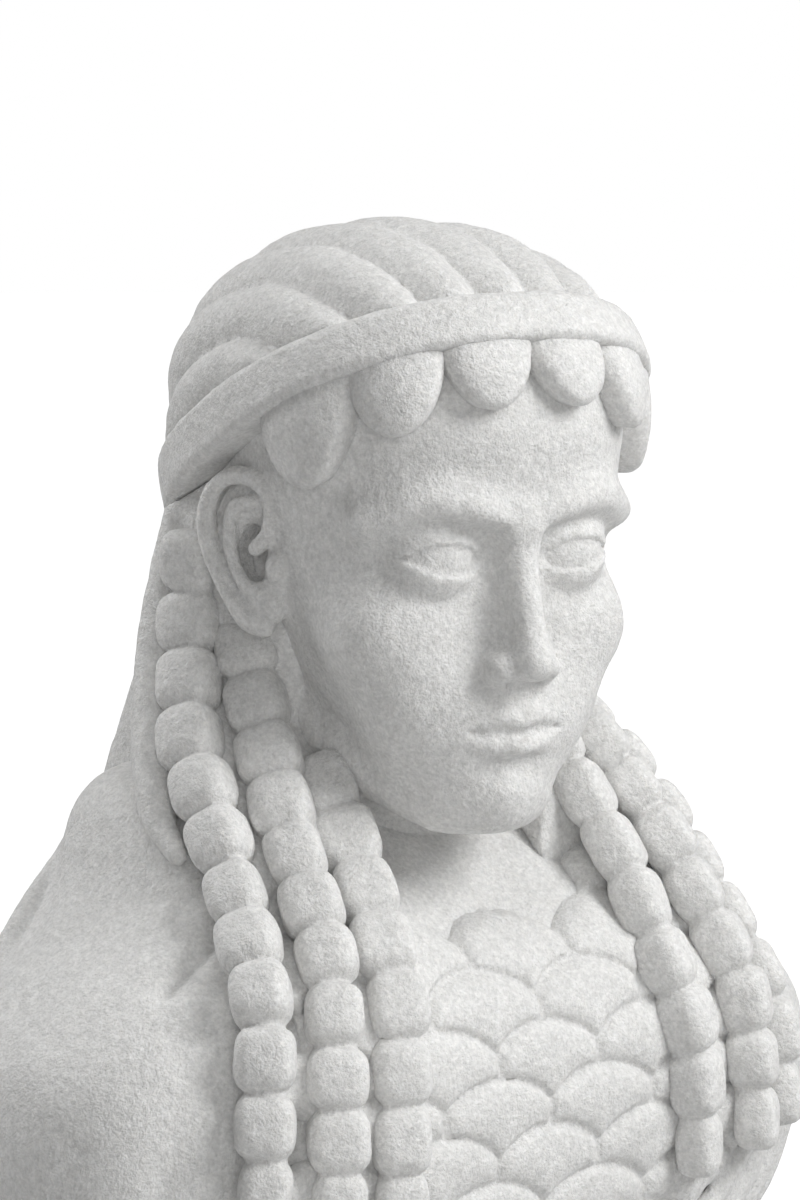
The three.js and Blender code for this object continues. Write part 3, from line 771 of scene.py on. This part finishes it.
def torso():
    stone = Stone((-142, -74, 82), (142, 64, 264), TORSO_STEP)
    x, y, z = stone.points()
    stone.d = torso_distance(stone) + folds(x, y, z)
    for side in (-1, 1):
        stone.put(tube(spline(MANTLE_HEM, 16) * (side, 1, 1), HEM_RADIUS), blend=2.5)
        crease = spline(SHOULDER_CREASE, 16) * (side, 1, 1)
        stone.press(crease, CREASE_WIDTH, CREASE_DEPTH)
    return stone


def bezier(points, count=24):
    a, b, c, d = (np.array(p, float) for p in points)
    t = np.linspace(0, 1, count)[:, None]
    return a * (1 - t) ** 3 + 3 * b * t * (1 - t) ** 2 + 3 * c * t * t * (1 - t) + d * t**3


def collar_polygon():
    right = np.vstack([bezier(p)[:-1] for p in COLLAR_OUTLINE[:3]])
    top = bezier(COLLAR_OUTLINE[3])[:-1]
    left = (right * (-1, 1))[::-1]
    return np.vstack([right, top, left])


def inside(polygon, x, z):
    """Which points lie inside a closed outline."""
    found = np.zeros(np.broadcast(x, z).shape, bool)
    for (x0, z0), (x1, z1) in zip(polygon, np.roll(polygon, -1, axis=0)):
        if z0 == z1:
            continue
        crosses = (z0 > z) != (z1 > z)
        found ^= crosses & (x < (x1 - x0) * (z - z0) / (z1 - z0) + x0)
    return found


def scale_cells(x, z):
    """Overlapping scales with arched tops: the distance to the nearest edge, and the scale's middle."""
    warp_x = x + 1.3 * np.sin(z / 17 + 0.6) + 0.8 * np.sin(x / 12)
    warp_z = z + 0.9 * np.sin(x / 23 + 1.1)
    first = np.ceil(-warp_z / SCALE_PITCH)

    def row_top(row):
        stagger = np.where(row % 2 == 0, 0.0, 0.5)
        place = warp_x / SCALE_WIDTH + stagger
        column = np.round(place)
        u = place - column
        arch = SCALE_RISE * np.clip(1 - (2 * u) ** 2, 0, 1) ** 0.75
        return -row * SCALE_PITCH + arch, u, column - stagger

    arched = row_top(first)
    above = row_top(first - 1)
    in_arch = arched[0] > warp_z
    top, u, column = (np.where(in_arch, p, q) for p, q in zip(arched, above))
    under = np.where(in_arch, row_top(first + 1)[0], arched[0])
    row = np.where(in_arch, first, first - 1)
    edge = np.minimum(np.minimum(top - warp_z, warp_z - under), (0.5 - np.abs(u)) * SCALE_WIDTH)
    return np.maximum(edge, 0), column * SCALE_WIDTH, -row * SCALE_PITCH


def blurred(mask, width):
    """A mask averaged over a square that reaches width samples to each side."""
    for axis in (0, 1):
        total = np.cumsum(mask, axis=axis, dtype=np.float64)
        mask = (np.roll(total, -width, axis) - np.roll(total, width, axis)) / (2 * width)
    return mask


def scale_collar():
    stone = Stone((-98, -80, 112), (98, 4, 256), COLLAR_STEP)
    x, y, z = stone.points()
    flat_x, flat_z = x[:, 0, :], z[0, :, :]
    edge, cell_x, cell_z = scale_cells(flat_x, flat_z)
    outline = collar_polygon()
    over_neckline = (flat_z > NECKLINE_Z) & (np.abs(flat_x) < NECKLINE_HALF_WIDTH)
    chosen = inside(outline, cell_x, cell_z) & (inside(outline, flat_x, flat_z) | over_neckline)
    width = max(1, round(1.6 / stone.step))
    border = (0.5 - blurred(chosen.astype(float), width)) * 2 * width * stone.step
    groove = np.exp(-((edge / 1.25) ** 2))
    thick = COLLAR_THICK - 1.7 * groove + 0.9 * smooth_step(0, 7, edge)
    body = torso_distance(stone)
    layer = smooth_max(body - thick[:, None, :], border[:, None, :], 1.4)
    layer = np.maximum(layer, np.maximum(-3 - body, y + 2))
    stone.d = layer.astype(np.float32)
    rim = np.vstack([bezier(COLLAR_OUTLINE[0]), bezier(COLLAR_OUTLINE[1])[1:]])
    depth = front_of_torso(rim[:, 0], rim[:, 1])
    for side in (-1, 1):
        bar = np.column_stack([rim[:, 0] * side, depth - 1.5, rim[:, 1]])
        stone.put(tube(bar, 3.0), blend=1.2)
    return stone


# ---------------------------------------------------------------- base


def revolved(profile, sides):
    """A closed surface of revolution through (radius, height) points, both in millimetres."""
    r, z = np.array(profile, float).T
    angles = np.linspace(0, 2 * math.pi, sides, endpoint=False)
    points = np.stack(
        [np.outer(np.cos(angles), r), np.outer(np.sin(angles), r), np.outer(np.ones(sides), z)], axis=2
    ).reshape(-1, 3)
    n = len(r)
    faces = []
    for i in range(sides):
        a, b = i * n, (i + 1) % sides * n
        faces += [(a + k, b + k, b + k + 1, a + k + 1) for k in range(n - 1)]
    faces.append([i * n for i in range(sides)][::-1])
    faces.append([i * n + n - 1 for i in range(sides)])
    return points, faces


def arc(centre, radius, start, end, count):
    angles = np.radians(np.linspace(start, end, count))
    return [(centre[0] + radius * math.cos(a), centre[1] + radius * math.sin(a)) for a in angles]


def socle():
    def height(share):
        return SOCLE_FOOT_Z + share * (SOCLE_TOP_Z - SOCLE_FOOT_Z)

    foot = height(0.08) - height(0)
    lip = height(0.93) - height(0.86)
    waist = bezier(((47, height(0.21)), (28, height(0.3)), (24, height(0.62)), (35, height(0.8))), 40)
    profile = [(51.4, height(0)), *arc((52, height(0.08)), foot, -85, 85, 20)]
    profile += [(47.6, height(0.16)), (47, height(0.17))]
    profile += [(47, height(0.205)), *map(tuple, waist[1:]), (37.6, height(0.8)), (38, height(0.81))]
    profile += [(38, height(0.855)), *arc((39.5, height(0.93)), lip, -85, 85, 18), (38.6, height(1))]
    points, faces = revolved(profile, SOCLE_SIDES)
    mesh = bpy.data.meshes.new("socle")
    push = 0.06 * value_noise(points, 9.0, 71)
    points[:, :2] *= (1 + push / SOCLE_MEAN_RADIUS)[:, None]
    mesh.from_pydata(points * MM, [], faces)
    mesh.shade_smooth()
    mesh.update()
    return mesh


def plinth():
    low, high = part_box("plinth")
    mesh = bpy.data.meshes.new("plinth")
    bm = bmesh.new()
    bmesh.ops.create_cube(bm, size=1)
    size = high - low
    middle = (high + low) / 2
    for v in bm.verts:
        v.co = Vector([middle[i] + v.co[i] * size[i] for i in range(3)])
    edge = PLINTH_EDGE * MM
    bmesh.ops.bevel(bm, geom=bm.edges[:], offset=edge, segments=5, profile=0.6, affect="EDGES")
    bm.to_mesh(mesh)
    bm.free()
    mesh.shade_smooth()
    return mesh


# ---------------------------------------------------------------- materials


class Nodes:
    """Short hand for building one material's node tree."""

    def __init__(self, name):
        self.material = bpy.data.materials.new(name)
        self.material.use_nodes = True
        self.tree = self.material.node_tree
        self.shader = self.tree.nodes["Principled BSDF"]
        coordinates = self.tree.nodes.new("ShaderNodeTexCoord")
        self.place = coordinates.outputs["Object"]

    def link(self, output, socket):
        self.tree.links.new(output, socket)

    def add(self, kind, settings=None, **inputs):
        node = self.tree.nodes.new("ShaderNode" + kind)
        for key, value in (settings or {}).items():
            setattr(node, key, value)
        for key, value in inputs.items():
            socket = node.inputs[key.replace("_", " ")]
            if isinstance(value, bpy.types.NodeSocket):
                self.link(value, socket)
            else:
                socket.default_value = value
        return node

    def noise(self, per_metre, detail=3.0, roughness=0.55, **more):
        settings = dict(Scale=per_metre, Detail=detail, Roughness=roughness, **more)
        return self.add("TexNoise", Vector=self.place, **settings)

    def grains(self, per_metre):
        return self.add("TexVoronoi", Vector=self.place, Scale=per_metre)

    def span(self, value, low, high, to_low, to_high):
        node = self.add("MapRange", Value=value)
        limits = {"From Min": low, "From Max": high, "To Min": to_low, "To Max": to_high}
        for socket, number in limits.items():
            node.inputs[socket].default_value = number
        return node.outputs["Result"]

    def times(self, a, b):
        node = self.add("Math", {"operation": "MULTIPLY"})
        for socket, value in zip(node.inputs, (a, b)):
            if isinstance(value, bpy.types.NodeSocket):
                self.link(value, socket)
            else:
                socket.default_value = value
        return node.outputs[0]

    def bump(self, height, strength, distance, under=None):
        node = self.add("Bump", Height=height, Strength=strength, Distance=distance)
        if under is not None:
            self.link(under, node.inputs["Normal"])
        return node.outputs["Normal"]

    def set(self, **values):
        for key, value in values.items():
            socket = self.shader.inputs[key.replace("_", " ")]
            if isinstance(value, bpy.types.NodeSocket):
                self.link(value, socket)
            else:
                socket.default_value = value


def shade(value):
    """A grey, warm by very little, as a colour."""
    return (value, value * 0.994, value * 0.98, 1)


def carved_marble():
    """Coarse white marble with a worn, sugary surface: fine crystals, mottling and grey clouds."""
    m = Nodes("carved_marble")
    crystals = m.grains(1150)
    per_crystal = m.add("SeparateColor", Color=crystals.outputs["Color"])
    clouds = m.noise(28, detail=4, roughness=0.6)
    speckle = m.noise(900, detail=2, roughness=0.7)
    cloud_tone = m.span(clouds.outputs["Fac"], 0.3, 0.7, 0.93, 1.0)
    crystal_tone = m.span(per_crystal.outputs["Red"], 0, 1, 0.83, 1.0)
    speckle_tone = m.span(speckle.outputs["Fac"], 0.3, 0.62, 0.68, 1.0)
    coarse = m.noise(420, detail=3, roughness=0.6)
    mottle_tone = m.span(coarse.outputs["Fac"], 0.36, 0.6, 0.84, 1.0)
    tone = m.times(m.times(cloud_tone, crystal_tone), m.times(speckle_tone, mottle_tone))
    colour = m.add("Mix", {"data_type": "RGBA"})
    colour.inputs["A"].default_value = (0.37, 0.37, 0.362, 1)
    colour.inputs["B"].default_value = shade(0.92)
    m.link(tone, colour.inputs["Factor"])
    fine = m.noise(1500, detail=2, roughness=0.6)
    normal = m.bump(coarse.outputs["Fac"], 0.6, 0.0011)
    normal = m.bump(fine.outputs["Fac"], 0.8, 0.0006, normal)
    normal = m.bump(per_crystal.outputs["Green"], 0.6, 0.0003, normal)
    m.set(
        Base_Color=colour.outputs["Result"],
        Roughness=m.span(per_crystal.outputs["Blue"], 0, 1, 0.3, 0.85),
        Normal=normal,
        Subsurface_Weight=0.35,
        Subsurface_Scale=0.0022,
        Subsurface_Radius=(1.0, 0.95, 0.88),
        Specular_IOR_Level=0.45,
        IOR=1.5,
    )
    return m.material


def base_marble():
    """Finer white marble, rubbed smooth, with faint grey veins."""
    m = Nodes("rubbed_marble")
    crystals = m.grains(1500)
    per_crystal = m.add("SeparateColor", Color=crystals.outputs["Color"])
    warp = m.noise(12, detail=5, roughness=0.62, Distortion=1.6)
    vein = m.span(warp.outputs["Fac"], 0.485, 0.515, 0, 1)
    ridge = m.add("Math", {"operation": "PINGPONG"})
    m.link(vein, ridge.inputs[0])
    ridge.inputs[1].default_value = 0.5
    clouds = m.noise(24, detail=4)
    tone = m.times(
        m.span(ridge.outputs[0], 0, 0.5, 1.0, 0.87),
        m.times(
            m.span(clouds.outputs["Fac"], 0.3, 0.7, 0.93, 1.0),
            m.span(per_crystal.outputs["Red"], 0, 1, 0.965, 1.0),
        ),
    )
    colour = m.add("Mix", {"data_type": "RGBA"})
    colour.inputs["A"].default_value = (0.26, 0.265, 0.27, 1)
    colour.inputs["B"].default_value = shade(0.83)
    m.link(tone, colour.inputs["Factor"])
    fine = m.noise(1300, detail=2)
    m.set(
        Base_Color=colour.outputs["Result"],
        Roughness=m.span(per_crystal.outputs["Blue"], 0, 1, 0.34, 0.5),
        Normal=m.bump(fine.outputs["Fac"], 0.3, 0.00012),
        Subsurface_Weight=0.3,
        Subsurface_Scale=0.002,
        Subsurface_Radius=(1.0, 0.95, 0.88),
        Specular_IOR_Level=0.5,
        IOR=1.5,
    )
    return m.material


def turned_steel():
    """Steel with fine turning lines, for the hidden rod, nut, washer, dowels and pins."""
    m = Nodes("turned_steel")
    stretch = m.add("Mapping", Vector=m.place, Scale=(60.0, 60.0, 2600.0))
    lines = m.add("TexNoise", Vector=stretch.outputs["Vector"], Scale=1.0, Detail=2.0)
    smears = m.noise(90, detail=3)
    colour = m.add("Mix", {"data_type": "RGBA"})
    colour.inputs["A"].default_value = (0.36, 0.36, 0.37, 1)
    colour.inputs["B"].default_value = (0.56, 0.56, 0.57, 1)
    m.link(smears.outputs["Fac"], colour.inputs["Factor"])
    m.set(
        Base_Color=colour.outputs["Result"],
        Metallic=1.0,
        Roughness=m.span(lines.outputs["Fac"], 0.3, 0.7, 0.26, 0.42),
        Normal=m.bump(lines.outputs["Fac"], 0.25, 0.00008),
    )
    return m.material


def pressed_felt():
    """Dark green felt: matted fibres with a soft nap."""
    m = Nodes("pressed_felt")
    fibres = m.noise(2600, detail=5, roughness=0.7, Distortion=2.5)
    tufts = m.noise(160, detail=3)
    fibre_tone = m.span(fibres.outputs["Fac"], 0.3, 0.7, 0.3, 1)
    tuft_tone = m.span(tufts.outputs["Fac"], 0.3, 0.7, 0.7, 1)
    tone = m.times(fibre_tone, tuft_tone)
    colour = m.add("Mix", {"data_type": "RGBA"})
    colour.inputs["A"].default_value = (0.012, 0.017, 0.013, 1)
    colour.inputs["B"].default_value = (0.046, 0.066, 0.052, 1)
    m.link(tone, colour.inputs["Factor"])
    m.set(
        Base_Color=colour.outputs["Result"],
        Roughness=m.span(fibres.outputs["Fac"], 0.3, 0.7, 0.85, 1.0),
        Normal=m.bump(fibres.outputs["Fac"], 0.7, 0.0003),
        Sheen_Weight=0.35,
        Sheen_Roughness=0.5,
    )
    return m.material


# ---------------------------------------------------------------- stage


def studio_floor():
    m = Nodes("studio_floor")
    grain = m.noise(3, detail=2)
    colour = m.add("Mix", {"data_type": "RGBA"})
    colour.inputs["A"].default_value = (0.5, 0.5, 0.5, 1)
    colour.inputs["B"].default_value = (0.54, 0.54, 0.54, 1)
    m.link(grain.outputs["Fac"], colour.inputs["Factor"])
    m.set(Base_Color=colour.outputs["Result"], Roughness=0.9, Specular_IOR_Level=0.1)
    ray = m.add("LightPath")
    glow = m.add("Emission", Color=(1, 1, 1, 1), Strength=FLOOR_GLOW)
    share = m.times(ray.outputs["Is Camera Ray"], FLOOR_GLOW_SHARE)
    mixed = m.add("MixShader", Fac=share)
    m.link(m.shader.outputs["BSDF"], mixed.inputs[1])
    m.link(glow.outputs["Emission"], mixed.inputs[2])
    m.link(mixed.outputs["Shader"], m.tree.nodes["Material Output"].inputs["Surface"])
    mesh = bpy.data.meshes.new("floor")
    angles = np.linspace(0, 2 * math.pi, FLOOR_SIDES, endpoint=False)
    ring = [(FLOOR_RADIUS * math.cos(a), FLOOR_RADIUS * math.sin(a), 0) for a in angles]
    mesh.from_pydata(ring, [], [tuple(range(FLOOR_SIDES))])
    mesh.materials.append(m.material)
    floor = bpy.data.objects.new("floor", mesh)
    bpy.context.scene.collection.objects.link(floor)


def area_light(name, azimuth, elevation, distance, size, watts, target):
    """A round soft light that looks at the target from a direction given as the camera's is."""
    a, e = math.radians(azimuth), math.radians(elevation)
    back = Vector((math.sin(a) * math.cos(e), -math.cos(a) * math.cos(e), math.sin(e)))
    lamp = bpy.data.lights.new(name, "AREA")
    lamp.shape = "DISK"
    lamp.size = size
    lamp.energy = watts
    light = bpy.data.objects.new(name, lamp)
    light.location = target + back * distance
    light.rotation_mode = "QUATERNION"
    light.rotation_quaternion = back.to_track_quat("Z", "Y")
    bpy.context.scene.collection.objects.link(light)


def studio_light():
    world = bpy.data.worlds.new("studio")
    world.use_nodes = True
    tree = world.node_tree
    backdrop = tree.nodes["Background"]
    backdrop.inputs["Color"].default_value = (1, 1, 1, 1)
    ray = tree.nodes.new("ShaderNodeLightPath")
    strength = tree.nodes.new("ShaderNodeMapRange")
    strength.inputs["To Min"].default_value = WORLD_STRENGTH
    strength.inputs["To Max"].default_value = 1.0
    tree.links.new(ray.outputs["Is Camera Ray"], strength.inputs["Value"])
    tree.links.new(strength.outputs["Result"], backdrop.inputs["Strength"])
    bpy.context.scene.world = world
    head = Vector((0, 0, 0.3))
    for name, azimuth, elevation, distance, size, watts in LIGHTS:
        area_light(name, azimuth, elevation, distance, size, watts, head)


def camera():
    """A long lens, on the figure's right side and a little above the middle."""
    a, e = CAMERA_AZIMUTH, CAMERA_ELEVATION
    back = Vector((math.sin(a) * math.cos(e), -math.cos(a) * math.cos(e), math.sin(e)))
    right = Vector((math.cos(a), math.sin(a), 0))
    target = Vector((0, 0, CAMERA_HEIGHT)) + right * CAMERA_SIDESTEP
    data = bpy.data.cameras.new("camera")
    data.lens = CAMERA_LENS
    data.sensor_width = SENSOR_WIDTH
    view = bpy.data.objects.new("camera", data)
    view.location = target + back * CAMERA_DISTANCE
    view.rotation_mode = "QUATERNION"
    view.rotation_quaternion = (-back).to_track_quat("-Z", "Y")
    bpy.context.scene.collection.objects.link(view)
    bpy.context.scene.camera = view


# ---------------------------------------------------------------- assembly

camera()
studio_light()
studio_floor()
bpy.context.scene.view_settings.view_transform = "Standard"

carved = carved_marble()
rubbed = base_marble()
steel = turned_steel()
felt = pressed_felt()

to_piece("head_block", head_block(), carved, on_head=True, seed=11)
to_piece("hair_cap", hair_cap(), carved, on_head=True, seed=21)
to_piece("headband", headband(), carved, on_head=True, seed=31)
for number in range(CURL_COUNT):
    curl = forehead_curl(number)
    to_piece(f"forehead_curl_{number + 1}", curl, carved, on_head=True, seed=41 + number)
for strand in BRAID_ROUTES:
    to_piece(strand, braid(strand), carved, seed=61)
to_piece("back_hair", back_hair(), carved, seed=81)
to_piece("torso", torso(), carved, seed=91)
to_piece("scale_collar", scale_collar(), carved, seed=101)
add_piece("socle", socle(), rubbed)
add_piece("plinth", plinth(), rubbed)

for node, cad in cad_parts.items():
    if cad.hide_render:
        continue
    cad.data.materials.clear()
    cad.data.materials.append(felt if node == "felt_pad" else steel)
